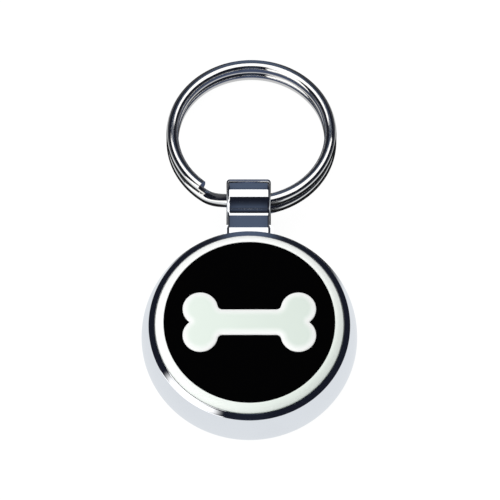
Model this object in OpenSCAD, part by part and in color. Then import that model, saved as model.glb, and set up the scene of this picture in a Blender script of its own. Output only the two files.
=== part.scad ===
// Round pet tag: a polished metal body with a lug, a pale glow cap with a raised bone,
// a black face disc round the bone, and a two-turn split ring that swings in the lug.
// Millimetres. The origin is the centre of the flat back, +Z points out of the face,
// +Y points to the lug. The ring is drawn as it lies when the tag rests on its back.

/* [Body] */
// Widest diameter of the body
body_d = 31; // [30:0.5:34]
// Height from the flat back to the top of the black face
body_h = 9.6; // [9:0.1:11]
// Height of the widest line, which is also the radius of the rounded lower edge
belly_z = 3.4; // [2.8:0.1:4]
// How far the wall leans in, from the widest line up to the lip
wall_lean = 1.05; // [0.8:0.05:1.3]
// Width of the lip round the cap
lip_w = 0.87; // [0.7:0.01:1.1]
// How far the lip's inner edge lies below the face
lip_drop = 1; // [0.7:0.05:1.3]
// How far the lip falls from its inner to its outer edge
lip_fall = 0.35; // [0.2:0.05:0.5]
// Width of the bevel on the lip's outer edge
lip_bevel = 0.15; // [0.1:0.05:0.3]
// Thickness of the metal under the pocket
floor_t = 2; // [1.5:0.1:2.5]

/* [Lug] */
// Distance from the body's widest line to the bore's axis
lug_out = 4.55; // [4.1:0.05:6]
// Height of the bore's axis above the back
lug_z = 5.7; // [5:0.1:6]
// Width of the lug
lug_w = 6.4; // [5:0.1:7.5]
// Outer diameter of the lug's barrel
barrel_d = 6; // [5.8:0.1:6.4]
// Diameter of the bore that the ring runs through
bore_d = 4.6; // [4.5:0.1:4.7]
// Radius of the barrel's rounded edges
barrel_edge_r = 0.55; // [0.2:0.05:0.6]
// Depth of the flat shoulder between the lip and the neck's slope
shoulder_w = 0.95; // [0.5:0.05:1.1]
// How far that shoulder lies below the lip's outer edge
shoulder_drop = 0.05; // [0.05:0.05:0.3]
// Extra width of that shoulder on each side of the neck
shoulder_flare = 0.3; // [0.2:0.05:0.5]
// Slope of the neck's top face in degrees
neck_slope = 22; // [20:1:32]
// Radius of the fillet between the neck's top face and the barrel
neck_fillet_r = 0.5; // [0.3:0.05:0.8]
// Radius of the fillet between the neck's underside and the barrel
under_fillet_r = 1; // [0.7:0.05:1.2]
// Half of the neck's thickness below the bore's axis
neck_under = 1.9; // [1.5:0.1:2.2]

/* [Glow cap] */
// Gap between the cap and the pocket's wall
cap_gap = 0.08; // [0.05:0.01:0.12]
// Width of the cap's rim
rim_w = 1.21; // [1.15:0.01:1.4]
// Radius of the rim's rounded outer shoulder
rim_r = 1.1; // [0.9:0.05:1.15]
// Height of the rim's crest above the face
rim_rise = 0.1; // [0.05:0.05:0.2]
// Thickness of the cap's plate
cap_plate_t = 1.5; // [1.2:0.1:2]
// Thickness of the cap's skirt
skirt_t = 1.4; // [1.1:0.1:1.8]
// Height of the snap bead's middle above the pocket's floor
snap_z = 2.6; // [2:0.1:3]
// How far the snap bead stands out of the skirt
snap_out = 0.2; // [0.15:0.01:0.25]

/* [Bone] */
// Black field left free at each end of the bone
bone_side = 2.69; // [2:0.01:3.5]
// Height of the bone across its knuckles
bone_h = 9.05; // [8.6:0.05:9.4]
// Diameter of each knuckle
knuckle_d = 5.05; // [4.9:0.05:5.3]
// Height of the bone's shaft
shaft_h = 3.87; // [3.4:0.01:4]
// Radius of the fillet between a knuckle and the shaft
bone_fillet_r = 0.7; // [0.5:0.05:1]
// How far the bone stands out of the black face
bone_rise = 0.35; // [0.2:0.05:0.5]
// Width of the bone's rounded edge
bone_edge = 0.42; // [0.3:0.02:0.44]

/* [Face disc] */
// Thickness of the black disc
disc_t = 0.9; // [0.7:0.05:1.1]
// Gap between the disc and the cap
disc_gap = 0.05; // [0.03:0.01:0.08]

/* [Split ring] */
// Outer diameter of the ring
ring_d = 24.6; // [24:0.1:28]
// Width of the flat wire, across the ring
wire_w = 1.8; // [1.6:0.05:2]
// Thickness of the flat wire, along the ring's axis
wire_t = 1.42; // [1.2:0.01:1.45]
// Gap between the two turns
turn_gap = 0.43; // [0.42:0.01:0.5]
// Radius of the wire's rounded edges
wire_edge_r = 0.66; // [0.4:0.02:0.7]
// Angle of the upper turn's cut end, to the left of the lug
cut_end_at = 39; // [37:1:60]
// Angle at which the wire starts its step down, to the left of the lug
step_from = 8; // [6:1:12]
// Angle at which the wire reaches the lower turn
step_to = 36; // [30:1:36]
// Angle of the lower turn's cut end, to the left of the lug
tail_end_at = 4; // [0:1:5]
// Least gap between the ring and the bore's wall
ring_clear = 0.25; // [0.2:0.01:0.3]
// How far the ring's wire lies behind the bore's axis, towards the tag
ring_back = 0.65; // [0.5:0.05:0.75]
// Gap left between the ring's far side and the surface that the tag lies on
ring_lift = 0.3; // [0:0.1:0.6]
// How far the ring lies to the right of the lug's middle
ring_shift = 0.3; // [-0.5:0.1:0.5]

/* [Hidden] */
$fn = 96;
// Overrun of every cut
over = 1;
// Straight parts in each small arc
arc_steps = 6;

// Body, derived
body_r = body_d / 2;
lip_r = body_r - wall_lean;
lip_in_z = body_h - lip_drop;
lip_out_z = lip_in_z - lip_fall;
pocket_r = lip_r - lip_w;
bulge_up = lip_out_z - belly_z;
bulge_r = (wall_lean * wall_lean + bulge_up * bulge_up) / (2 * wall_lean);
bulge_c = [body_r - bulge_r, belly_z];
belly_c = [body_r - belly_z, belly_z];
// The lip's slope, outwards and down, and the turn at which its bevel meets the wall
lip_dir = [lip_w, -lip_fall] / norm([lip_w, lip_fall]);
lip_p = [lip_r, lip_out_z];
bevel_p = bulge_c + bulge_r * dir(asin(bulge_up / bulge_r) - lip_bevel / bulge_r * 180 / PI);

// Lug, derived
barrel_r = barrel_d / 2;
bore_r = bore_d / 2;
lug_reach = body_r + lug_out;
bore_p = [lug_reach, lug_z];
root_y = pocket_r + (lip_r - pocket_r) / 2;
shoulder_p = [lip_r + shoulder_w, lip_out_z - shoulder_drop];
top_fillet_c = fillet_centre(shoulder_p, neck_slope);
under_z = lug_z - neck_under;
under_fillet_z = under_z - under_fillet_r;
under_dy = sqrt(pow(barrel_r + under_fillet_r, 2) - pow(lug_z - under_fillet_z, 2));
under_fillet_c = [lug_reach - under_dy, under_fillet_z];
flare_y = sqrt(body_r * body_r - lug_w * lug_w / 4);

// Cap, disc and bone, derived
cap_r = pocket_r - cap_gap;
face_r = cap_r - rim_w;
seat_z = body_h - disc_t;
plate_z = seat_z - cap_plate_t;
rim_c = [cap_r - rim_r, body_h + rim_rise - rim_r];
knuckle_r = knuckle_d / 2;
knuckle_c = [face_r - disc_gap - bone_side - knuckle_r, bone_h / 2 - knuckle_r];
shaft_r = shaft_h / 2;
bend_up = shaft_r + bone_fillet_r - knuckle_c[1];
bend_in = sqrt(pow(knuckle_r + bone_fillet_r, 2) - bend_up * bend_up);
bend_c = [knuckle_c[0] - bend_in, shaft_r + bone_fillet_r];
bend_deg = asin(bend_up / (knuckle_r + bone_fillet_r));
knuckle_steps = 18;
bend_steps = 4;
// Where the quarters' middles lie, as a share of the knuckle's and the shaft's radius
fan_share = 0.65;
// The bone's rounded edge as shares of its width and rise, from the face inwards
bone_edge_shares = [[0, 0.12], [0.1, 0.45], [0.3, 0.74], [0.6, 0.93], [1, 1]];

// Split ring, derived
wire_half = wire_w / 2;
// The edges are rounded to this share of the wire's thickness at most
edge_share = 0.48;
wire_round = min(wire_edge_r, wire_t * edge_share);
turn_z = (wire_t + turn_gap) / 2;
stack_half = turn_z + wire_t / 2;
wire_r = ring_d / 2 - wire_half;
flat_in = wire_half - wire_round;
flat_up = stack_half - wire_round;
seat_r = bore_r - ring_clear - wire_round;
ring_down = sqrt(seat_r * seat_r - pow(ring_back + flat_in, 2)) - flat_up;
// The ring leans until its far side is this close to the surface that the back lies on
lean_a = ring_down + flat_up;
lean_b = 2 * wire_r + flat_in - ring_back;
lean_drop = lug_z - wire_round - ring_lift;
ring_lean = asin(lean_drop / norm([lean_a, lean_b])) - atan2(lean_a, lean_b);
ring_rings = 116;
ring_from = -cut_end_at;
ring_sweep = -720 - tail_end_at + cut_end_at;
edge_steps = 3;

// Direction of the outward normal of a top face that falls at this slope
function normal_at(slope) = [sin(slope), cos(slope)];

// Centre of the fillet that a slope from this point makes with the barrel
function fillet_centre(p, slope) =
    let (start = p + neck_fillet_r * normal_at(slope))
    let (along = [cos(slope), -sin(slope)])
    let (to_bore = bore_p - start)
    let (mid = to_bore * along)
    let (off = pow(barrel_r + neck_fillet_r, 2) - (to_bore * to_bore - mid * mid))
    start + along * (mid - sqrt(off));

// One quarter of the bone's outline, drawn in from its edge
function bone_quarter(inset) =
    let (r = knuckle_r - inset)
    let (from = -asin(knuckle_c[1] / r))
    let (span = 180 - bend_deg - from)
    let (f = bone_fillet_r + inset)
    concat(
        [for (i = [0:knuckle_steps]) knuckle_c + r * dir(from + span * i / knuckle_steps)],
        [for (i = [1:bend_steps]) bend_c + f * dir(-bend_deg - (90 - bend_deg) * i / bend_steps)]
    );

// A unit vector at this angle
function dir(a) = [cos(a), sin(a)];

// Points of an arc about this centre
function arc(c, r, from, to) = [
    for (i = [0:arc_steps]) c + r * dir(from + (to - from) * i / arc_steps)
];

// Angle of the direction from one point to another
function turn_to(p, q) = atan2(q[1] - p[1], q[0] - p[0]);

// A list of points mirrored across X or Y
function flipped(points, sx, sy) = [for (p = points) [p[0] * sx, p[1] * sy]];

// A list in reverse order, without its last skip members
function backwards(list, skip) = [for (i = [len(list) - 1 - skip:-1:0]) list[i]];

// A list without its first member
function rest_of(list) = [for (i = [1:len(list) - 1]) list[i]];

// The bone's whole outline, counterclockwise from the notch at +X
function bone_outline(inset) =
    let (q = bone_quarter(inset))
    let (left = backwards(flipped(q, -1, 1), 0))
    let (low = rest_of(flipped(q, -1, -1)))
    let (right = [for (i = [len(q) - 1:-1:1]) [q[i][0], -q[i][1]]])
    concat(q, left, low, right);

// Outline of the flat wire about its own centre: [across, along the ring's axis]
function wire_outline() = [
    for (corner = [0:3])
        for (i = [0:edge_steps])
            let (a = 90 * (corner + i / edge_steps))
            let (sx = corner == 0 || corner == 3 ? 1 : -1)
            let (sz = corner < 2 ? 1 : -1)
            [sx * flat_in, sz * (wire_t / 2 - wire_round)] + wire_round * dir(a)
];

// Height of the wire along its way: the upper turn, the step down, the lower turn
function wire_z(a) =
    let (t = min(1, max(0, (-a - 360 - step_from) / (step_to - step_from))))
    turn_z * (1 - 2 * t * t * (3 - 2 * t));

// One ring of the wire's skin at this angle; 0 is at the lug and + turns to the right
function wire_ring(a) = [
    for (p = wire_outline())
        let (r = wire_r + p[0])
        [r * sin(a), wire_r - r * cos(a), wire_z(a) + p[1]]
];

ring_angles = [for (i = [0:ring_rings - 1]) ring_from + ring_sweep * i / (ring_rings - 1)];
ring_skin = [for (a = ring_angles) wire_ring(a)];
sides = 4 * (edge_steps + 1);

// Least distance between the skins of two rings
function ring_gap(a, b) = min([for (p = a) min([for (q = b) norm(p - q)])]);

// Least gap of the wire to its own next turn, over every place that has one
self_gap = min([
    for (a = ring_angles)
        if (a - 360 >= ring_from + ring_sweep) ring_gap(wire_ring(a), wire_ring(a - 360))
]);
echo(least_gap_of_the_split_ring_to_itself = self_gap);

// Half section of the barrel, for turning about the bore's axis
module barrel_section() {
    x = barrel_r - barrel_edge_r;
    polygon(concat(
        [[0, 0]],
        arc([x, barrel_edge_r], barrel_edge_r, -90, 0),
        arc([x, lug_w - barrel_edge_r], barrel_edge_r, 0, 90),
        [[0, lug_w]]
    ));
}

// Half section of the body, with its pocket and the groove for the cap's snap bead
module body_section() {
    difference() {
        union() {
            square([body_r - belly_z, belly_z]);
            intersection() {
                translate(belly_c)
                    circle(belly_z);
                translate([belly_c[0], -over])
                    square(belly_z + over);
            }
            intersection() {
                translate(bulge_c)
                    circle(bulge_r);
                translate([0, belly_z])
                    square([body_r + over, body_h - belly_z]);
            }
        }
        polygon([
            lip_p - lip_dir * (lip_w + over),
            lip_p - lip_dir * lip_bevel,
            bevel_p,
            bevel_p + [over, -over * lip_bevel],
            [body_r + over, body_h + over],
            [0, body_h + over],
            [0, lip_in_z + over]
        ]);
        translate([-over, floor_t])
            square([pocket_r + over, body_h]);
        translate([pocket_r, floor_t + snap_z])
            circle(snap_out);
    }
}

// Side view of the neck, from inside the body to the bore's axis
module neck_side() {
    top_from = atan2(-normal_at(neck_slope)[1], -normal_at(neck_slope)[0]);
    polygon(concat(
        [[root_y, shoulder_p[1]], shoulder_p],
        arc(top_fillet_c, neck_fillet_r, top_from, turn_to(top_fillet_c, bore_p)),
        [bore_p],
        arc(under_fillet_c, under_fillet_r, turn_to(under_fillet_c, bore_p), 90),
        [[root_y, under_z]]
    ));
}

// The neck from above, with its wider shoulder
module neck_plan() {
    side = [
        [lug_w / 2 + shoulder_flare, root_y],
        [lug_w / 2 + shoulder_flare, flare_y],
        [lug_w / 2, flare_y + shoulder_flare],
        [lug_w / 2, lug_reach]
    ];
    polygon(concat(side, backwards(flipped(side, -1, 1), 0)));
}

// The lug's solid: barrel and neck
module lug_solid() {
    translate([-lug_w / 2, lug_reach, lug_z])
        rotate([0, 90, 0])
            rotate_extrude()
                barrel_section();
    intersection() {
        translate([-lug_w, 0, 0])
            rotate([90, 0, 90])
                linear_extrude(2 * lug_w)
                    neck_side();
        linear_extrude(body_h)
            neck_plan();
    }
}

// Polished body with its lug
module tag_body() {
    color("silver") {
        rotate_extrude()
            body_section();
        difference() {
            lug_solid();
            translate([-lug_w / 2 - over, lug_reach, lug_z])
                rotate([0, 90, 0])
                    cylinder(r = bore_r, h = lug_w + 2 * over);
        }
    }
}

// Half section of the cap: skirt, plate, rim and snap bead
module cap_section() {
    translate([cap_r - skirt_t, floor_t])
        square([skirt_t, rim_c[1] - floor_t]);
    translate([0, plate_z])
        square([cap_r - skirt_t, cap_plate_t]);
    translate([face_r, plate_z])
        square([rim_c[0] - face_r, body_h + rim_rise - plate_z]);
    intersection() {
        translate(rim_c)
            circle(rim_r);
        translate([face_r, rim_c[1]])
            square([rim_r + cap_r, rim_r]);
    }
    intersection() {
        translate([cap_r, floor_t + snap_z])
            circle(snap_out);
        translate([cap_r - skirt_t / 2, floor_t])
            square([skirt_t, 2 * snap_z]);
    }
}

// Triangles over one flat end of the bone: a fan in each quarter, joined at the middle
function bone_end(at, mid, n) =
    let (m = (n + 2) / 4)
    let (from = [0, m, 2 * m - 1, 3 * m - 1])
    concat(
        [for (k = [0:3])
            for (i = [0:m - 2])
                [mid + 1 + k, at + from[k] + i, at + (from[k] + i + 1) % n]],
        [for (k = [0:3])
            each [
                [mid + 1 + k, at + (from[k] + m - 1) % n, mid],
                [mid + 1 + k, mid, at + from[k]]
            ]],
        [for (k = [1, 3]) [mid, at + from[k] - 1, at + from[k]]]
    );

// The middle of the bone and of its quarters at this height
function bone_middles(z) = concat(
    [[0, 0, z]],
    [for (sign = [[1, 1], [-1, 1], [-1, -1], [1, -1]])
        [sign[0] * (knuckle_c[0] - knuckle_r * fan_share), sign[1] * shaft_r * fan_share, z]]
);

// The raised bone: straight sides through the disc and a rounded edge above it
module bone() {
    foot_z = seat_z - cap_plate_t / 2;
    levels = concat(
        [[0, foot_z]],
        [for (s = bone_edge_shares) [bone_edge * s[0], body_h + bone_rise * s[1]]]
    );
    rows = [for (l = levels) [for (p = bone_outline(l[0])) [p[0], p[1], l[1]]]];
    n = len(rows[0]);
    last = len(rows) - 1;
    foot = bone_end(0, len(rows) * n, n);
    top = bone_end(last * n, len(rows) * n + len(bone_middles(0)), n);
    walls = [
        for (k = [0:last - 1])
            for (i = [0:n - 1])
                let (a = k * n + i)
                let (b = k * n + (i + 1) % n)
                each [[a, a + n, b + n], [a, b + n, b]]
    ];
    polyhedron(
        points = concat(
            [for (r = rows) each r],
            bone_middles(foot_z),
            bone_middles(body_h + bone_rise)
        ),
        faces = concat(foot, walls, [for (t = top) [t[2], t[1], t[0]]])
    );
}

// Pale glow cap: one moulding with its rim and its bone
module glow_cap() {
    color("honeydew") {
        rotate_extrude()
            cap_section();
        bone();
    }
}

// Black disc that fills the face round the bone
module face_disc() {
    color("black")
        difference() {
            translate([0, 0, seat_z])
                cylinder(r = face_r - disc_gap, h = disc_t);
            translate([0, 0, seat_z - over])
                linear_extrude(disc_t + 2 * over)
                    polygon(bone_outline(-disc_gap));
        }
}

// Split ring: one flat wire, two turns, with a step from the upper to the lower turn
module split_ring() {
    points = [for (r = ring_skin) each r];
    skin = [
        for (k = [0:ring_rings - 2])
            for (i = [0:sides - 1])
                let (a = k * sides + i)
                let (b = k * sides + (i + 1) % sides)
                each [[a, b, b + sides], [a, b + sides, a + sides]]
    ];
    last = (ring_rings - 1) * sides;
    caps = [
        for (i = [1:sides - 2])
            each [[0, i + 1, i], [last, last + i, last + i + 1]]
    ];
    color("lightsteelblue")
        translate([ring_shift, lug_reach, lug_z])
            rotate([-ring_lean, 0, 0])
                translate([0, -ring_back, -ring_down])
                    polyhedron(points = points, faces = concat(skin, caps));
}

tag_body();
glow_cap();
face_disc();
split_ring();
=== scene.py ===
import math
import bpy
import bmesh
from mathutils import Matrix, Vector
from mathutils.geometry import delaunay_2d_cdt


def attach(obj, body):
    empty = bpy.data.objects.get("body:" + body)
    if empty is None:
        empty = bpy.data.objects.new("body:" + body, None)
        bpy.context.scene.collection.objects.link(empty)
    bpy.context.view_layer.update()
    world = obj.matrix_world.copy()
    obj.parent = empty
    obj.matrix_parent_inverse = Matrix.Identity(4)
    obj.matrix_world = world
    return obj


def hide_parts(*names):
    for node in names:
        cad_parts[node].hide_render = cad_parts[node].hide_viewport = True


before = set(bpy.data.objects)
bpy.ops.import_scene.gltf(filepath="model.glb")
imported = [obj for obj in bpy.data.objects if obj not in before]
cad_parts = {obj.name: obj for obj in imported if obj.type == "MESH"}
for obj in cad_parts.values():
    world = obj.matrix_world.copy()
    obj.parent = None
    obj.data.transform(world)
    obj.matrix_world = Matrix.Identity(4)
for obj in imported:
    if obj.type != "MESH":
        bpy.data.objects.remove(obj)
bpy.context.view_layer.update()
print("frame loaded")

mm = 0.001
weld = 1e-7  # points nearer than this, in metres, are one point
scene = bpy.context.scene


# a socket that can be used in sums
class Reading:
    def __init__(self, maker, socket):
        self.maker = maker
        self.socket = socket

    def __add__(self, other):
        return self.maker.math("ADD", self, other)

    __radd__ = __add__

    def __sub__(self, other):
        return self.maker.math("SUBTRACT", self, other)

    def __rsub__(self, other):
        return self.maker.math("SUBTRACT", other, self)

    def __mul__(self, other):
        return self.maker.math("MULTIPLY", self, other)

    __rmul__ = __mul__

    def __truediv__(self, other):
        return self.maker.math("DIVIDE", self, other)

    def __rtruediv__(self, other):
        return self.maker.math("DIVIDE", other, self)

    def __pow__(self, other):
        return self.maker.math("POWER", self, other)


class Maker:
    def __init__(self, tree):
        self.tree = tree

    # every node comes from here: its type, its settings, then its sockets
    def add(self, kind, settings=None, sockets=None):
        node = self.tree.nodes.new(kind)
        for name, value in (settings or {}).items():
            setattr(node, name, value)
        for key, value in (sockets or {}).items():
            if isinstance(value, Reading):
                value = value.socket
            if isinstance(value, bpy.types.NodeSocket):
                self.tree.links.new(value, node.inputs[key])
            else:
                node.inputs[key].default_value = value
        return node

    def read(self, kind, settings=None, sockets=None, out=0):
        return Reading(self, self.add(kind, settings, sockets).outputs[out])

    def math(self, operation, *values):
        return self.read("ShaderNodeMath", {"operation": operation}, dict(enumerate(values)))

    def smooth(self, value, low, high):
        sockets = {"Value": value, "From Min": low, "From Max": high}
        return self.read("ShaderNodeMapRange", {"interpolation_type": "SMOOTHSTEP"}, sockets)

    def mix(self, share, first, second):
        sockets = {0: share, 6: first, 7: second}
        return self.read("ShaderNodeMix", {"data_type": "RGBA"}, sockets, 2)

    def noise(self, place, scale, detail):
        sockets = {"Vector": place, "Scale": scale, "Detail": detail}
        return self.read("ShaderNodeTexNoise", None, sockets)

    def bump(self, strength, distance, height):
        sockets = {"Strength": strength, "Distance": distance, "Height": height}
        return self.read("ShaderNodeBump", None, sockets)

    def join(self, x, y, z):
        return self.read("ShaderNodeCombineXYZ", None, {0: x, 1: y, 2: z})

    def split(self, vector):
        parts = self.add("ShaderNodeSeparateXYZ", None, {0: vector})
        return [Reading(self, parts.outputs[i]) for i in range(3)]

    # on a material, the place on the piece; on the world, the way a ray goes
    def place(self, kind="Object"):
        return self.add("ShaderNodeTexCoord").outputs[kind]

    # rays that come from the camera, and rays that come off metal
    def rays(self):
        path = self.add("ShaderNodeLightPath")
        return [Reading(self, path.outputs[name]) for name in ("Is Camera Ray", "Is Glossy Ray")]


def newMaterial(name):
    material = bpy.data.materials.new(name)
    material.use_nodes = True
    material.node_tree.nodes.clear()
    return material, Maker(material.node_tree)


def finishMaterial(maker, shader):
    maker.add("ShaderNodeOutputMaterial", None, {"Surface": shader.outputs[0]})


def toned(colour, share):
    return tuple(c * share for c in colour[:3]) + (1,)


cameraSettings = {
    "elevation": 69.15,
    "distance": 1.3,
    "target": (0.092 * mm, 11.04 * mm, 9.6 * mm),
    "frameWidth": 71.75 * mm,
    "sensor": 36.0,
    "clip": (0.05, 20.0),
}


def makeCamera(s):
    data = bpy.data.cameras.new("photoCamera")
    data.sensor_width = s["sensor"]
    data.lens = s["sensor"] * s["distance"] / s["frameWidth"]
    data.clip_start, data.clip_end = s["clip"]
    camera = bpy.data.objects.new("photoCamera", data)
    scene.collection.objects.link(camera)
    tilt = math.radians(s["elevation"])
    back = Vector((0, -math.cos(tilt), math.sin(tilt)))
    camera.location = Vector(s["target"]) + back * s["distance"]
    camera.rotation_mode = "QUATERNION"
    camera.rotation_quaternion = (-back).to_track_quat("-Z", "Y")
    scene.camera = camera


makeCamera(cameraSettings)
print("camera ready")


def polar(centre, radius, degrees):
    a = math.radians(degrees)
    return (centre[0] + radius * math.cos(a), centre[1] + radius * math.sin(a))


def arc(centre, radius, start, end, steps):
    return [polar(centre, radius, start + (end - start) * i / steps) for i in range(steps + 1)]


def addPiece(name, bm, sharpAngle=35):
    bmesh.ops.remove_doubles(bm, verts=bm.verts, dist=weld)
    bmesh.ops.recalc_face_normals(bm, faces=bm.faces)
    mesh = bpy.data.meshes.new(name)
    bm.to_mesh(mesh)
    bm.free()
    obj = bpy.data.objects.new(name, mesh)
    scene.collection.objects.link(obj)
    smoothPiece(obj, sharpAngle)
    return obj


def smoothPiece(obj, sharpAngle):
    for polygon in obj.data.polygons:
        polygon.use_smooth = True
    obj.data.set_sharp_from_angle(angle=math.radians(sharpAngle))


# turns a half section, in mm, about the Z axis
def lathe(section, segments):
    bm = bmesh.new()
    rings = []
    for r, z in section:
        if r == 0:
            rings.append([bm.verts.new((0, 0, z * mm))])
            continue
        ring = []
        for i in range(segments):
            a = 2 * math.pi * i / segments
            ring.append(bm.verts.new((r * math.cos(a) * mm, r * math.sin(a) * mm, z * mm)))
        rings.append(ring)
    for low, high in zip(rings, rings[1:]):
        for i in range(segments):
            j = (i + 1) % segments
            face = []
            for corner in (low[i % len(low)], low[j % len(low)],
                           high[j % len(high)], high[i % len(high)]):
                if corner not in face:
                    face.append(corner)
            if len(face) > 2:
                bm.faces.new(face)
    return bm


# joins closed outlines of equal length, given as points in mm, and caps both ends
def loft(outlines):
    bm = bmesh.new()
    rings = [[bm.verts.new((x * mm, y * mm, z * mm)) for x, y, z in outline]
             for outline in outlines]
    for low, high in zip(rings, rings[1:]):
        for i in range(len(low)):
            j = (i + 1) % len(low)
            bm.faces.new((low[i], low[j], high[j], high[i]))
    bm.faces.new(rings[0])
    bm.faces.new(list(reversed(rings[-1])))
    return bm


def combine(obj, other, operation):
    modifier = obj.modifiers.new("cut", "BOOLEAN")
    modifier.operation = operation
    modifier.solver = "EXACT"
    modifier.object = other
    depsgraph = bpy.context.evaluated_depsgraph_get()
    baked = bpy.data.meshes.new_from_object(obj.evaluated_get(depsgraph))
    obj.modifiers.clear()
    old = obj.data
    obj.data = baked
    bpy.data.meshes.remove(old)
    baked.name = obj.name
    bpy.data.objects.remove(other)


def dress(obj, body, node, material):
    obj.data.materials.clear()
    obj.data.materials.append(material)
    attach(obj, body)
    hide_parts(node)


# the tag's turned shell and its lug, in mm and degrees
bodySettings = {
    "height": 9.6,
    "radius": 15.5,
    "bellyHeight": 3.4,
    "lipRadius": 14.45,
    "lipWidth": 0.87,
    "lipDrop": 1.0,  # from the top down to the lip's inner edge
    "lipFall": 0.35,  # from there down to its outer edge
    "lipEdge": 0.2,
    "lipLoops": (0.25, 0.5, 0.75, 0.94),
    "pocketFloor": 2.0,
    "pocketBead": (0.02, 0.004),
    "footLoop": 0.05,
    "segments": 360,
    "wallSteps": 32,
    "lipSteps": 10,
    "sharpAngle": 32,
    "lugReach": 20.05,  # the bore's own place
    "lugHeight": 5.7,
    "lugWidth": 6.4,
    "lugShift": -0.1,
    "boreRadius": 2.3,
    "boreMouth": 0.15,
    "boreSegments": 128,
    "cutterPast": 1.0,
    "barrelReach": 20.3,
    "barrelHeight": 5.5,
    "barrelRadius": 3.0,
    "barrelSteps": 120,
    "shoulderDrop": 0.05,
    "shoulderEnd": 15.05,
    "shoulderRound": 0.25,
    "shoulderLeast": 0.02,
    "shoulderSteps": 6,
    "neckSlope": 23.5,
    "neckFillet": 0.95,
    "neckSteps": 12,
    "neckRoot": 14.0,
    "underFillet": 1.0,
    "underHeight": 3.8,
    "underSteps": 10,
    "edgeRound": 0.5,
    "edgeSteps": 6,
    "flare": 0.35,
    "flareSteps": 8,
    "footRaise": 0.05,
    "footDrop": 0.25,
}


def bodySection(s):
    lipIn = s["height"] - s["lipDrop"]
    lipOut = lipIn - s["lipFall"]
    belly = (s["radius"] - s["bellyHeight"], s["bellyHeight"])
    lean = s["radius"] - s["lipRadius"]
    rise = lipOut - s["bellyHeight"]
    bulge = (lean * lean + rise * rise) / (2 * lean)
    centre = (s["radius"] - bulge, s["bellyHeight"])

    # the small round between the wall and the lip
    slope = math.degrees(math.atan2(s["lipFall"], s["lipWidth"]))
    normal = (math.sin(math.radians(slope)), math.cos(math.radians(slope)))
    lift = ((s["lipRadius"] - centre[0]) * normal[0] + (lipOut - centre[1]) * normal[1]
            - s["lipEdge"])
    along = math.sqrt((bulge - s["lipEdge"]) ** 2 - lift * lift)
    edge = (centre[0] + normal[0] * lift + normal[1] * along,
            centre[1] + normal[1] * lift - normal[0] * along)
    wallEnd = math.degrees(math.atan2(edge[1] - centre[1], edge[0] - centre[0]))

    section = [(0, 0), (belly[0] / 2, 0), (belly[0] - s["footLoop"], 0)]
    section += arc(belly, s["bellyHeight"], -90, 0, s["wallSteps"])
    section += arc(centre, bulge, 0, wallEnd, s["wallSteps"])[1:]
    section += arc(edge, s["lipEdge"], wallEnd, 90 - slope, s["lipSteps"])[1:]

    # across the lip, then down into the pocket
    pocket = s["lipRadius"] - s["lipWidth"]
    start = section[-1]
    for share in s["lipLoops"]:
        section.append((start[0] + (pocket - start[0]) * share,
                        start[1] + (lipIn - start[1]) * share))
    out, up = s["pocketBead"]
    section += [(pocket + out, lipIn + up), (pocket, lipIn - out)]
    section += [(r, s["pocketFloor"]) for r in (pocket, pocket / 2, 0)]
    return section


def shoulderHeight(s):
    return s["height"] - s["lipDrop"] - s["lipFall"] - s["shoulderDrop"]


# side view of the lug; the inset draws it in for the rounded edges
def lugOutline(s, inset):
    barrel = (s["barrelReach"], s["barrelHeight"])
    slope = math.radians(s["neckSlope"])
    normal = (math.sin(slope), math.cos(slope))
    down = (math.cos(slope), -math.sin(slope))
    corner = (s["shoulderEnd"] - inset * math.tan(slope / 2), shoulderHeight(s) - inset)

    # the fillet that the falling top face makes with the barrel
    fillet = s["neckFillet"] + inset
    start = (corner[0] + fillet * normal[0], corner[1] + fillet * normal[1])
    toBarrel = (barrel[0] - start[0], barrel[1] - start[1])
    along = toBarrel[0] * down[0] + toBarrel[1] * down[1]
    reach = s["barrelRadius"] + s["neckFillet"]
    off = math.sqrt(reach ** 2 - (toBarrel[0] ** 2 + toBarrel[1] ** 2 - along ** 2))
    top = (start[0] + down[0] * (along - off), start[1] + down[1] * (along - off))
    topTurn = math.degrees(math.atan2(barrel[1] - top[1], barrel[0] - top[0]))

    # the fillet under the neck
    underZ = s["underHeight"] - s["underFillet"]
    reach = s["barrelRadius"] + s["underFillet"]
    under = (barrel[0] - math.sqrt(reach ** 2 - (barrel[1] - underZ) ** 2), underZ)
    underTurn = math.degrees(math.atan2(barrel[1] - under[1], barrel[0] - under[0]))

    # the soft bend between the shoulder and the falling face
    soft = max(s["shoulderRound"] - inset, s["shoulderLeast"])
    bend = (corner[0] - soft * math.tan(slope / 2), corner[1] - soft)

    outline = [(s["neckRoot"], corner[1])]
    outline += arc(bend, soft, 90, 90 - s["neckSlope"], s["shoulderSteps"])
    outline += arc(top, fillet, -90 - s["neckSlope"], topTurn, s["neckSteps"])
    outline += arc(barrel, s["barrelRadius"] - inset, topTurn + 180, underTurn - 180,
                   s["barrelSteps"])[1:-1]
    outline += arc(under, s["underFillet"] + inset, underTurn, 90, s["underSteps"])
    outline += [(s["neckRoot"], s["underHeight"] + inset)]
    return outline


# the side view at each place across the lug, drawn in towards both ends
def makeLug(s):
    half, edge = s["lugWidth"] / 2, s["edgeRound"]
    right = []
    for i in range(s["edgeSteps"] + 1):
        turn = math.pi / 2 * i / s["edgeSteps"]
        inset = edge * (1 - math.cos(turn))
        right.append((half - edge * (1 - math.sin(turn)), lugOutline(s, inset)))
    rows = [(-x, outline) for x, outline in reversed(right)] + right
    return addPiece("lug", loft([[(x, y, z) for y, z in outline] for x, outline in rows]))


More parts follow.
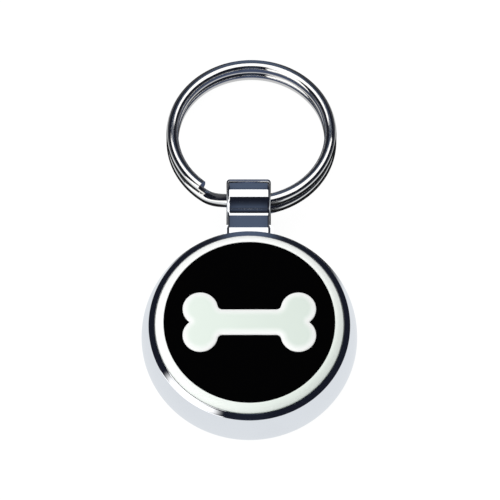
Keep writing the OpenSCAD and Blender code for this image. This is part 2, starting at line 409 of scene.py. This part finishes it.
def boreCutter(s):
    half, past = s["lugWidth"] / 2, s["cutterPast"]
    bore, mouth = s["boreRadius"], s["boreMouth"]
    wide = bore + mouth
    section = [(0, -half - past), (wide + past, -half - past), (wide, -half),
               (bore, -half + mouth), (bore, half - mouth),
               (wide, half), (wide + past, half + past), (0, half + past)]
    bm = lathe(section, s["boreSegments"])
    turn = Matrix.Rotation(math.pi / 2, 4, "Y")
    place = Matrix.Translation((0, s["lugReach"] * mm, s["lugHeight"] * mm))
    bmesh.ops.transform(bm, matrix=place @ turn, verts=bm.verts)
    return addPiece("boreCutter", bm)


# the wider foot of the neck, with a hollow curve on each side
def neckFoot(s):
    half, flare = s["lugWidth"] / 2, s["flare"]
    wall = math.sqrt(s["radius"] ** 2 - half ** 2)
    right = [(half + flare, s["neckRoot"])]
    right += arc((half + flare, wall + flare), flare, -90, -180, s["flareSteps"])
    plan = right + [(-x, y) for x, y in reversed(right)]
    levels = (s["underHeight"] + s["footRaise"], shoulderHeight(s) - s["footDrop"])
    return addPiece("neckFoot", loft([[(x, y, z) for x, y in plan] for z in levels]))


def makeBody(s):
    body = addPiece("tagBody", lathe(bodySection(s), s["segments"]))
    lug = makeLug(s)
    combine(lug, neckFoot(s), "UNION")
    combine(lug, boreCutter(s), "DIFFERENCE")
    lug.data.transform(Matrix.Translation((s["lugShift"] * mm, 0, 0)))
    combine(body, lug, "UNION")
    smoothPiece(body, s["sharpAngle"])
    return body


# the pale cap: rim, plate, skirt and the raised bone, in mm and degrees
capSettings = {
    "radius": 13.5,
    "rimInner": 12.29,
    "rimRound": 1.1,
    "rimRise": 0.1,
    "rimBreak": (0.06, 0.018),
    "rimSteps": 24,
    # the rim is paler all round, partly its own colour and partly painted light, with a painted
    # highlight strongest towards the upper left
    "rimPale": 0.68,
    "rimPaintedLight": 0.30,
    "rimPaintedLightAt": 130.0,
    "rimBand": (0.2, 0.1),  # how far below the seat and inside the rim its painted highlight starts
    "seatHeight": 8.7,
    "seatBreak": 0.02,
    "plateThickness": 1.5,
    "skirt": 1.4,
    "skirtGap": 0.02,
    "snapHeight": 4.6,
    "snapOut": 0.2,
    "snapSteps": 8,
    "segments": 300,
    "sharpAngle": 40,
    "boneLength": 19.1,
    "boneHeight": 9.05,
    "knuckleRadius": 2.525,
    "shaftHeight": 3.87,
    "boneFillet": 0.7,
    "boneRise": 0.35,
    "boneEdgeShare": 0.30,  # of the rise, what the tight round at the edge takes
    "boneEdgeWidth": 0.16,
    "bonePillow": 1.3,
    "pillowPower": 2.6,
    "boneRings": (0.015, 0.04, 0.08, 0.13, 0.2),
    "ringSlack": 0.75,
    "boneGrid": 0.16,
    "gridInset": 0.28,
    "gridWeld": 1e-5,
    "knuckleSteps": 60,
    "bendSteps": 10,
    "shaftSteps": 24,
    "topSlack": 0.01,
    "insideShare": 0.999,
}


def capSection(s, body):
    crest = body["height"] + s["rimRise"]
    foot = body["pocketFloor"] + s["skirtGap"]
    seat, plate = s["seatHeight"], s["seatHeight"] - s["plateThickness"]
    inner, outer, skirt = s["rimInner"], s["radius"], s["radius"] - s["skirt"]
    small = s["seatBreak"]
    wide, slim = s["rimBreak"]
    section = [(0, seat), (inner / 2, seat), (inner - small, seat), (inner, seat + small),
               (inner, crest - wide), (inner + slim, crest - slim), (inner + wide, crest)]
    section += arc((outer - s["rimRound"], crest - s["rimRound"]), s["rimRound"], 90, 0,
                   s["rimSteps"])
    section += [(outer, s["snapHeight"] + s["snapOut"])]
    section += arc((outer, s["snapHeight"]), s["snapOut"], 90, -90, s["snapSteps"])[1:]
    section += [(outer, foot), (skirt, foot), (skirt, plate), (0, plate)]
    return section


def boneShape(s):
    r = s["knuckleRadius"]
    shaft = s["shaftHeight"] / 2
    fillet = s["boneFillet"]
    knuckle = (s["boneLength"] / 2 - r, s["boneHeight"] / 2 - r)
    up = shaft + fillet - knuckle[1]
    across = math.sqrt((r + fillet) ** 2 - up * up)
    return {"r": r, "shaft": shaft, "fillet": fillet, "knuckle": knuckle,
            "bend": (knuckle[0] - across, shaft + fillet),
            "bendTurn": math.degrees(math.asin(up / (r + fillet))),
            "notchTurn": -math.degrees(math.asin(knuckle[1] / r)),
            "notch": knuckle[0] + math.sqrt(r * r - knuckle[1] ** 2)}


def boneOutline(s, b):
    quarter = arc(b["knuckle"], b["r"], b["notchTurn"], 180 - b["bendTurn"], s["knuckleSteps"])
    quarter += arc(b["bend"], b["fillet"], -b["bendTurn"], -90, s["bendSteps"])[1:]
    for i in range(1, s["shaftSteps"]):
        quarter.append((b["bend"][0] * (1 - i / s["shaftSteps"]), b["shaft"]))
    quarter.append((0, b["shaft"]))
    upper = quarter + [(-x, y) for x, y in reversed(quarter[:-1])]
    return upper + [(x, -y) for x, y in reversed(upper[1:-1])]


# how far a point inside the bone lies from its outline, worked out in one quarter
def boneDepth(b, x, y):
    x, y = abs(x), abs(y)
    kx, ky = b["knuckle"]
    if x <= b["bend"][0]:
        return b["shaft"] - y
    turn = math.degrees(math.atan2(y - ky, x - kx))
    if b["notchTurn"] <= turn <= 180 - b["bendTurn"]:
        return b["r"] - math.hypot(x - kx, y - ky)
    # elsewhere the hollow fillet or the notch between the knuckles is nearest
    toBend = math.hypot(x - b["bend"][0], y - b["bend"][1]) - b["fillet"]
    return min(toBend, math.hypot(x - b["notch"], y))


def boneInside(b, x, y):
    x, y = abs(x), abs(y)
    if math.hypot(x - b["knuckle"][0], y - b["knuckle"][1]) < b["r"]:
        return True
    if x <= b["bend"][0]:
        return y < b["shaft"]
    if x > b["knuckle"][0]:
        return False
    return y < b["bend"][1] and math.hypot(x - b["bend"][0], y - b["bend"][1]) > b["fillet"]


def boneCrown(s, b, x, y):
    depth = boneDepth(b, x, y)
    edge = min(1.0, depth / s["boneEdgeWidth"]) ** 0.5
    share = min(1.0, max(0.0, depth / s["bonePillow"]))
    pillow = 1 - (1 - share) ** s["pillowPower"]
    return s["boneRise"] * (s["boneEdgeShare"] * edge + (1 - s["boneEdgeShare"]) * pillow)


# rings just inside the edge carry its tight round, and a grid carries the pillow
def bonePoints(s, b, outline):
    points = [Vector(p) for p in outline]
    for inset in s["boneRings"]:
        for i in range(len(outline)):
            before, after = outline[i - 1], outline[(i + 1) % len(outline)]
            side = Vector((before[1] - after[1], after[0] - before[0])).normalized()
            point = Vector(outline[i]) + side * inset
            if boneDepth(b, point.x, point.y) > inset * s["ringSlack"]:
                points.append(point)
    step = s["boneGrid"]
    columns, rows = int(s["boneLength"] / 2 / step), int(s["boneHeight"] / 2 / step)
    for i in range(-columns, columns + 1):
        for j in range(-rows, rows + 1):
            x, y = i * step, (j + 0.5 * (i % 2)) * step
            if boneInside(b, x, y) and boneDepth(b, x, y) > s["gridInset"]:
                points.append(Vector((x, y)))
    return points


def makeBone(s, b, top):
    outline = boneOutline(s, b)
    count = len(outline)
    made = delaunay_2d_cdt(bonePoints(s, b, outline), [], [list(range(count))], 1, s["gridWeld"])
    flat, faces, origins = made[0], made[2], made[3]
    onEdge = {i for i, given in enumerate(origins) if any(o < count for o in given)}
    bm = bmesh.new()
    crown = []
    for i, p in enumerate(flat):
        rise = 0 if i in onEdge else boneCrown(s, b, p.x, p.y)
        crown.append(bm.verts.new((p.x * mm, p.y * mm, (top + rise) * mm)))
    for face in faces:
        bm.faces.new([crown[i] for i in face])

    # straight down into the plate
    foot = s["seatHeight"] - s["plateThickness"] / 2
    low, high = [[bm.verts.new((x * mm, y * mm, z * mm)) for x, y in outline]
                 for z in (foot, top)]
    for i in range(count):
        j = (i + 1) % count
        bm.faces.new((low[i], low[j], high[j], high[i]))
    bm.faces.new(list(reversed(low)))
    return addPiece("bone", bm, s["sharpAngle"])


# painted highlight at a point: strongest at the bone's edge and fading inwards, and round the
# rim paler all round, strongest towards the upper left
def paintedHighlightAt(s, b, top, x, y, z):
    out = math.hypot(x, y)
    below, within = s["rimBand"]
    if z > top - s["topSlack"]:
        if boneInside(b, x * s["insideShare"], y * s["insideShare"]):
            return max(0.0, 1 - boneDepth(b, x, y) / s["bonePillow"])
        if out < s["rimInner"] - 1:
            return 1.0
    # painted highlight round the rim, strongest towards the upper left
    if z > s["seatHeight"] - below and out > s["rimInner"] - within:
        turn = math.atan2(y, x) - math.radians(s["rimPaintedLightAt"])
        return s["rimPale"] + s["rimPaintedLight"] * math.cos(turn)
    return 0.0


def makeCap(s, body):
    cap = addPiece("glowCap", lathe(capSection(s, body), s["segments"]))
    b = boneShape(s)
    combine(cap, makeBone(s, b, body["height"]), "UNION")
    smoothPiece(cap, s["sharpAngle"])
    # the boneEdge attribute carries the painted highlight for the bone's edges and the rim
    edge = cap.data.attributes.new("boneEdge", "FLOAT", "POINT")
    for i, vertex in enumerate(cap.data.vertices):
        edge.data[i].value = paintedHighlightAt(s, b, body["height"], *[c / mm for c in vertex.co])
    return cap


# one wire wound in two turns, in mm and degrees
ringSettings = {
    "outerRadius": 12.4,
    "wireWidth": 1.9,
    "wireThickness": 1.74,
    "turnPitch": 1.91,
    "squareness": 2.55,
    "sectionPoints": 56,
    "cutEnd": 39.0,
    "stepFrom": 8.0,
    "stepTo": 36.0,
    "tailEnd": 4.0,
    "endRound": 0.3,
    "endPower": 2.4,
    "endSize": 0.72,
    "points": 1200,
    "sharpAngle": 50,
    "shift": 0.3,
    "back": 0.65,
    "down": 0.0927,
    "lean": 9.478,
}


# where the ring hangs in the bore, leaning down towards the table
def ringPlace(s, body):
    place = Matrix.Translation(Vector((s["shift"], body["lugReach"], body["lugHeight"])) * mm)
    lean = Matrix.Rotation(-math.radians(s["lean"]), 4, "X")
    return place @ lean @ Matrix.Translation(Vector((0, -s["back"], -s["down"])) * mm)


def ringTree(s, material):
    tree = bpy.data.node_groups.new("woundWire", "GeometryNodeTree")
    sizes = [
        ("Turn radius", (s["outerRadius"] - s["wireWidth"] / 2) * mm),
        ("Wire width", s["wireWidth"] * mm),
        ("Wire thickness", s["wireThickness"] * mm),
        ("Squareness", s["squareness"]),
        ("Turn pitch", s["turnPitch"] * mm),
        ("Cut end", math.radians(s["cutEnd"])),
        ("Step from", math.radians(s["stepFrom"])),
        ("Step to", math.radians(s["stepTo"])),
        ("Tail end", math.radians(s["tailEnd"])),
        ("End round", s["endRound"] * mm),
    ]
    inputs = {}
    for name, value in sizes:
        socket = tree.interface.new_socket(name, in_out="INPUT", socket_type="NodeSocketFloat")
        inputs[socket.identifier] = value
    tree.interface.new_socket("Geometry", in_out="OUTPUT", socket_type="NodeSocketGeometry")
    m = Maker(tree)
    given = m.add("NodeGroupInput")

    def size(name):
        return Reading(m, given.outputs[name])

    # the wire's middle line: round and round, with a step from one turn to the other
    fullTurn = 2 * math.pi
    index = m.read("GeometryNodeInputIndex")
    share = index / (s["points"] - 1)
    sweep = 2 * fullTurn + size("Tail end") - size("Cut end")
    angle = (size("Cut end") + share * sweep) * -1
    step = m.smooth(angle * -1 - fullTurn, size("Step from"), size("Step to"))
    across = m.math("SINE", angle) * size("Turn radius")
    forth = size("Turn radius") - m.math("COSINE", angle) * size("Turn radius")
    point = m.join(across, forth, size("Turn pitch") * (0.5 - step))
    line = m.add("GeometryNodeMeshLine", None, {"Count": s["points"]})
    placed = m.add("GeometryNodeSetPosition", None,
                   {"Geometry": line.outputs[0], "Position": point})
    curve = m.add("GeometryNodeMeshToCurve", None, {"Mesh": placed.outputs[0]})
    upright = m.add("GeometryNodeSetCurveNormal", {"mode": "Z_UP"}, {"Curve": curve.outputs[0]})

    # the cut ends draw in over their last part
    way = m.add("GeometryNodeSplineParameter")
    length = Reading(m, way.outputs["Length"])
    fromEnd = m.math("MINIMUM", length, sweep * size("Turn radius") - length)
    drawn = m.math("MINIMUM", fromEnd / size("End round"), 1.0)
    roundShare = (1 - (1 - drawn) ** s["endPower"]) ** (1 / s["endPower"])
    radius = s["endSize"] + (1 - s["endSize"]) * roundShare
    sized = m.add("GeometryNodeSetCurveRadius", None,
                  {"Curve": upright.outputs[0], "Radius": radius})
    kept = m.add("GeometryNodeStoreNamedAttribute", {"data_type": "FLOAT", "domain": "POINT"},
                 {"Geometry": sized.outputs[0], "Name": "along", "Value": length})

    # the wire's section, a bar with crowned faces and rolled edges
    around = index / s["sectionPoints"] * fullTurn

    def crowned(wave, whole):
        swing = m.math(wave, around)
        bent = m.math("ABSOLUTE", swing) ** (2 / size("Squareness"))
        return m.math("SIGN", swing) * bent * whole / 2

    outline = m.join(crowned("COSINE", size("Wire thickness")),
                     crowned("SINE", size("Wire width")), 0.0)
    circle = m.add("GeometryNodeCurvePrimitiveCircle", {"mode": "RADIUS"},
                   {"Resolution": s["sectionPoints"]})
    section = m.add("GeometryNodeSetPosition", None,
                    {"Geometry": circle.outputs[0], "Position": outline})
    swept = m.add("GeometryNodeCurveToMesh", None, {
        "Curve": kept.outputs[0], "Profile Curve": section.outputs[0], "Fill Caps": True})
    real = m.add("GeometryNodeRealizeInstances", None, {"Geometry": swept.outputs[0]})
    coated = m.add("GeometryNodeSetMaterial", None,
                   {"Geometry": real.outputs[0], "Material": material})
    m.add("NodeGroupOutput", None, {0: coated.outputs[0]})
    return tree, inputs


def makeRing(s, body, material):
    tree, inputs = ringTree(s, material)
    holder = bpy.data.objects.new("ringHolder", bpy.data.meshes.new("ringHolder"))
    scene.collection.objects.link(holder)
    modifier = holder.modifiers.new("winding", "NODES")
    modifier.node_group = tree
    for identifier, value in inputs.items():
        modifier[identifier] = value
    depsgraph = bpy.context.evaluated_depsgraph_get()
    mesh = bpy.data.meshes.new_from_object(holder.evaluated_get(depsgraph))
    mesh.name = "splitRing"
    bpy.data.objects.remove(holder)
    mesh.transform(ringPlace(s, body))
    bm = bmesh.new()
    bm.from_mesh(mesh)
    bmesh.ops.recalc_face_normals(bm, faces=bm.faces)
    bm.to_mesh(mesh)
    bm.free()
    ring = bpy.data.objects.new("splitRing", mesh)
    scene.collection.objects.link(ring)
    smoothPiece(ring, s["sharpAngle"])
    return ring


chromeSettings = {
    "colour": (0.87, 0.88, 0.90, 1),
    "cloudTone": 0.985,
    "cloudScale": 180.0,
    "cloudRange": (0.45, 0.75),
    "fineScale": 2600.0,
    "roughness": 0.03,
    "cloudRoughness": 0.03,
    "fineRoughness": 0.01,
    "bump": 0.02,
    "bumpDepth": 0.02 * mm,
}


def chromeFinish(s):
    material, m = newMaterial("bodyChrome")
    place = m.place()
    fine = m.noise(place, s["fineScale"], 2.0)
    cloud = m.smooth(m.noise(place, s["cloudScale"], 3.0), *s["cloudRange"])
    shader = m.add("ShaderNodeBsdfPrincipled", None, {
        "Base Color": m.mix(cloud, s["colour"], toned(s["colour"], s["cloudTone"])),
        "Metallic": 1.0,
        "Roughness": s["roughness"] + cloud * s["cloudRoughness"] + fine * s["fineRoughness"],
        "Normal": m.bump(s["bump"], s["bumpDepth"], fine)})
    finishMaterial(m, shader)
    return material


steelSettings = {
    "colour": (0.88, 0.87, 0.85, 1),
    "drawTone": 0.93,
    "drawRange": (0.35, 0.8),
    "drawLanes": (60, 5200, 9),  # marks per metre: along the wire, up it, and their drift
    "smudgeScale": 260.0,
    "smudgeRange": (0.4, 0.8),
    "roughness": 0.05,
    "smudgeRoughness": 0.05,
    "bump": 0.05,
    "bumpDepth": 0.03 * mm,
}


def steelFinish(s):
    material, m = newMaterial("ringSteel")
    place = m.place()
    along = m.read("ShaderNodeAttribute", {"attribute_name": "along"}, None, 2)
    # drawing marks run along the wire
    long, high, drift = s["drawLanes"]
    lane = m.join(along * long, m.split(place)[2] * high, along * drift)
    draw = m.noise(lane, 1.0, 2.0)
    smudge = m.smooth(m.noise(place, s["smudgeScale"], 3.0), *s["smudgeRange"])
    shader = m.add("ShaderNodeBsdfPrincipled", None, {
        "Base Color": m.mix(m.smooth(draw, *s["drawRange"]), s["colour"],
                            toned(s["colour"], s["drawTone"])),
        "Metallic": 1.0,
        "Roughness": s["roughness"] + smudge * s["smudgeRoughness"],
        "Normal": m.bump(s["bump"], s["bumpDepth"], draw)})
    finishMaterial(m, shader)
    return material


paleSettings = {
    "colour": (0.735, 0.825, 0.755, 1),
    # painted light and painted shade across the cap, from left to right
    "paintedLitColour": (0.785, 0.875, 0.80, 1),
    "paintedShadedColour": (0.680, 0.765, 0.70, 1),
    # colour of the painted highlight on the bone's edges and the rim
    "paintedHighlightColour": (0.96, 0.975, 0.96, 1),
    "paintedLightReach": 11.0,  # mm each way from the middle
    "paintedHighlightRange": (0.1, 0.95),
    "cloudScale": 140.0,
    "cloudShare": 0.3,
    "grainScale": 5200.0,
    "roughness": 0.3,
    "grainRoughness": 0.08,
    "specular": 0.45,
    "bump": 0.03,
    "bumpDepth": 0.02 * mm,
}


def paleFinish(s):
    material, m = newMaterial("capPale")
    place = m.place()
    edge = m.read("ShaderNodeAttribute", {"attribute_name": "boneEdge"}, None, 2)
    cloud = m.noise(place, s["cloudScale"], 2.0)
    grain = m.noise(place, s["grainScale"], 2.0)
    # painted light: paler on the left, where the light falls, and deeper on the right
    across = m.smooth(m.split(place)[0] / mm, -s["paintedLightReach"], s["paintedLightReach"])
    base = m.mix(cloud * s["cloudShare"], m.mix(across, s["paintedLitColour"], s["paintedShadedColour"]), s["colour"])
    shader = m.add("ShaderNodeBsdfPrincipled", None, {
        # painted highlight mixed in from the boneEdge attribute
        "Base Color": m.mix(m.smooth(edge, *s["paintedHighlightRange"]), base, s["paintedHighlightColour"]),
        "Roughness": s["roughness"] + grain * s["grainRoughness"],
        "Specular IOR Level": s["specular"],
        "Normal": m.bump(s["bump"], s["bumpDepth"], grain)})
    finishMaterial(m, shader)
    return material


blackSettings = {
    "colour": (0.0005, 0.0005, 0.0006, 1),
    "grainTone": 2,
    "grainScale": 3000.0,
    "roughness": 0.45,
    "grainRoughness": 0.1,
    "specular": 0.004,
    "bump": 0.05,
    "bumpDepth": 0.02 * mm,
}


def blackFinish(s):
    material, m = newMaterial("discBlack")
    grain = m.noise(m.place(), s["grainScale"], 2.0)
    shader = m.add("ShaderNodeBsdfPrincipled", None, {
        "Base Color": m.mix(grain, s["colour"], toned(s["colour"], s["grainTone"])),
        "Roughness": s["roughness"] + grain * s["grainRoughness"],
        "Specular IOR Level": s["specular"],
        "Normal": m.bump(s["bump"], s["bumpDepth"], grain)})
    finishMaterial(m, shader)
    return material


chrome = chromeFinish(chromeSettings)
steel = steelFinish(steelSettings)
pale = paleFinish(paleSettings)
black = blackFinish(blackSettings)
print("materials ready")

tagBody = makeBody(bodySettings)
dress(tagBody, "tag", "tag_body", chrome)
print("body", len(tagBody.data.polygons), "faces")

glowCap = makeCap(capSettings, bodySettings)
dress(glowCap, "tag", "glow_cap", pale)
print("cap", len(glowCap.data.polygons), "faces")

splitRing = makeRing(ringSettings, bodySettings, steel)
dress(splitRing, "ring", "split_ring", steel)
print("ring", len(splitRing.data.polygons), "faces")

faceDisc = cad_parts["face_disc"]
faceDisc.data.materials.clear()
faceDisc.data.materials.append(black)


# the camera sees a white floor; metal sees this one, with places on it in mm
floorSettings = {
    "size": 3.0,  # metres
    "drop": 0.02,
    "seen": 0.93,
    "shadow": (0.12, 0.12, 0.12, 1),
    "bounce": (0.8, 0.8, 0.8, 1),
    "light": (0.80, 0.83, 0.86, 1),
    # painted shade, painted shade tinted blue-grey, and a painted pool of light, which only
    # metal sees
    "shade": (0.010, 0.0105, 0.012, 1),
    "blue": (0.065, 0.085, 0.150, 1),
    "patch": (0.60, 0.61, 0.63, 1),
    "shadeMiddle": (4.0, 32.0),
    "shadeReach": (26.0, 22.0),
    "shadeSoft": (1.12, 0.86),
    "shadeFar": (30.0, 38.0),
    "patchMiddle": (0.3, 30.6),
    "patchRadius": (8.0, 9.2),
    "patchNear": (32.0, 36.0),
    "patchFar": (44.0, 43.0),
    "blueHalf": (5.0, 3.5),
}


# painted shade round the ring and behind it, tinted blue-grey in line with the lug, and one
# painted pool of light inside the ring's far side; only metal sees them
def floorInMetal(m, s):
    x, y = [value / mm for value in m.split(m.place())[:2]]

    def away(middle, reach):
        across, along = (x - middle[0]) / reach[0], (y - middle[1]) / reach[1]
        return (across * across + along * along) ** 0.5

    shade = m.math("MAXIMUM", m.smooth(away(s["shadeMiddle"], s["shadeReach"]), *s["shadeSoft"]),
                   m.smooth(y, *s["shadeFar"]))
    patch = m.smooth(away(s["patchMiddle"], (1.0, 1.0)), *s["patchRadius"])
    patch = patch * m.smooth(y, *s["patchNear"]) * m.smooth(y, *s["patchFar"])
    blue = m.smooth(m.math("ABSOLUTE", x), *s["blueHalf"])
    dark = m.mix(patch, m.mix(blue, s["shade"], s["blue"]), s["patch"])
    return m.mix(shade, s["light"], dark)


def makeFloor(s):
    half = s["size"] / 2
    bm = bmesh.new()
    bm.faces.new([bm.verts.new((x * half, y * half, -s["drop"] * mm))
                  for x, y in ((-1, -1), (1, -1), (1, 1), (-1, 1))])
    floor = addPiece("floor", bm)
    material, m = newMaterial("floorWhite")
    seen, mirrored = m.rays()
    sheet = m.add("ShaderNodeBsdfDiffuse", None, {"Color": s["shadow"]})
    white = m.add("ShaderNodeEmission", None, {"Color": (1, 1, 1, 1), "Strength": s["seen"]})
    shown = m.add("ShaderNodeAddShader", None, {0: sheet.outputs[0], 1: white.outputs[0]})
    inMetal = m.add("ShaderNodeEmission", None, {"Color": floorInMetal(m, s), "Strength": 1.0})
    bounce = m.add("ShaderNodeBsdfDiffuse", None, {"Color": s["bounce"]})
    unseen = m.add("ShaderNodeMixShader", None,
                   {0: mirrored, 1: bounce.outputs[0], 2: inMetal.outputs[0]})
    whole = m.add("ShaderNodeMixShader", None,
                  {0: seen, 1: unseen.outputs[0], 2: shown.outputs[0]})
    finishMaterial(m, whole)
    floor.data.materials.append(material)


# the sky's ranges are on the parts of a direction, each from -1 to 1
skySettings = {
    "zenith": (0.0095, 0.0115, 0.020, 1),
    "horizon": (0.085, 0.112, 0.172, 1),
    "side": (0.095, 0.098, 0.110, 1),
    "lowFrom": 0.02,
    "lowReach": 0.45,
    "lowBack": 0.4,
    "blueSide": (0.22, 0.06),
    "blueForth": (-0.98, -0.85),
    "sideUp": (0.5, 0.1),
    "glowWay": (-0.42, -0.20, 0.885),
    "glowReach": 0.29,
    "glowCore": 0.65,
    "glow": (1.25, 1.25, 1.25, 1),
    "fill": (0.70, 0.70, 0.70, 1),
}


def makeSky(s):
    world = bpy.data.worlds.new("studio")
    scene.world = world
    world.use_nodes = True
    world.node_tree.nodes.clear()
    m = Maker(world.node_tree)
    way = m.place("Generated")
    side, forth, up = m.split(way)
    lowTo = s["lowReach"] - m.math("MINIMUM", forth, 0.0) * s["lowBack"]
    low = m.smooth(1 - up, s["lowFrom"], lowTo)
    blue = m.smooth(m.math("ABSOLUTE", side), *s["blueSide"]) * m.smooth(forth, *s["blueForth"])
    edge = m.mix(m.smooth(up, *s["sideUp"]), s["zenith"], s["side"])
    sky = m.mix(low, s["zenith"], m.mix(blue, edge, s["horizon"]))
    # the small lamp that whitens the lip at the lower left
    apart = m.read("ShaderNodeVectorMath", {"operation": "DISTANCE"},
                   {0: way, 1: s["glowWay"]}, "Value")
    glow = m.smooth(apart, s["glowReach"], s["glowReach"] * s["glowCore"])
    seen, mirrored = m.rays()
    unseen = m.mix(mirrored, s["fill"], m.mix(glow, sky, s["glow"]))
    shader = m.add("ShaderNodeBackground", None,
                   {"Color": m.mix(seen, unseen, (1, 1, 1, 1)), "Strength": 1.0})
    m.add("ShaderNodeOutputWorld", None, {"Surface": shader.outputs[0]})


# a box overhead, between two angles from straight up, and a card that stands on
# the floor; both in metres
lampSettings = {
    "boxLevel": 1.25,
    "boxHeight": 0.7,
    "boxNear": -1.5,
    "boxFar": 40.6,
    "boxHalfWidth": 0.35,
    "boxShift": 0.01,
    "cardLevel": 1.3,
    "cardAzimuth": 220.0,
    "cardDistance": 0.5,
    "cardWidth": 0.56,
    "cardHeight": 0.6,
}


def makePanel(name, centre, aim, width, height, level):
    data = bpy.data.lights.new(name, "AREA")
    data.shape = "RECTANGLE"
    data.size = width
    data.size_y = height
    data.energy = level * math.pi * width * height
    lamp = bpy.data.objects.new(name, data)
    scene.collection.objects.link(lamp)
    lamp.location = centre
    lamp.rotation_mode = "QUATERNION"
    lamp.rotation_quaternion = (Vector(aim) - Vector(centre)).to_track_quat("-Z", "Y")
    lamp.visible_camera = False


def makeLamps(s):
    high = s["boxHeight"]
    near = high * math.tan(math.radians(s["boxNear"]))
    far = high * math.tan(math.radians(s["boxFar"]))
    middle = (near + far) / 2 + s["boxShift"]
    makePanel("overheadBox", (0, middle, high), (0, middle, 0),
              2 * s["boxHalfWidth"], far - near, s["boxLevel"])
    a = math.radians(s["cardAzimuth"])
    aim = Vector((0, 0, s["cardHeight"] / 2))
    centre = Vector((math.cos(a), math.sin(a), 0)) * s["cardDistance"] + aim
    makePanel("sideCard", centre, aim, s["cardWidth"], s["cardHeight"], s["cardLevel"])


makeFloor(floorSettings)
makeSky(skySettings)
makeLamps(lampSettings)
scene.view_settings.view_transform = "Standard"
print("studio ready")
